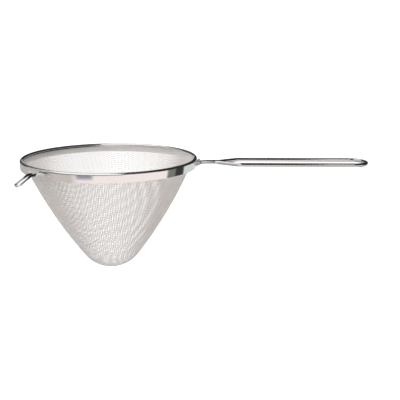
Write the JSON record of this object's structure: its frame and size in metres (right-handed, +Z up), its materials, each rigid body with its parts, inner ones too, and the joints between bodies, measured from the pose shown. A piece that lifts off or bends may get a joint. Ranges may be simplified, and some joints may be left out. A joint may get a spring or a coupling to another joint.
{
  "type": "chinois strainer",
  "caption": "Fine conical mesh strainer with a rolled rim, a long looped wire handle and a hook that rests on a pan's edge.",
  "frame": {"origin": "centre of the mouth, level with the top of the rim", "axes": "+Z up out of the mouth, +X along the handle; the pan hook stands off the rim on the -X, -Y side"},
  "size_m": [0.356, 0.18, 0.1173],
  "materials": {
    "woven_mesh": "fine plain-woven stainless wire mesh, bright drawn",
    "polished_rim": "polished stainless steel strip",
    "plain_wire": "plain drawn stainless wire",
    "polished_wire": "polished stainless steel wire",
    "weld_metal": "cleaned weld metal, slightly dull"
  },
  "bodies": {
    "root": {"mesh_basket": "woven_mesh", "rim_band": "polished_rim", "rim_hoop": "plain_wire", "handle_loop": "polished_wire", "handle_welds": "weld_metal", "pan_hook": "polished_wire", "hook_welds": "weld_metal"}
  },
  "joints": []
}
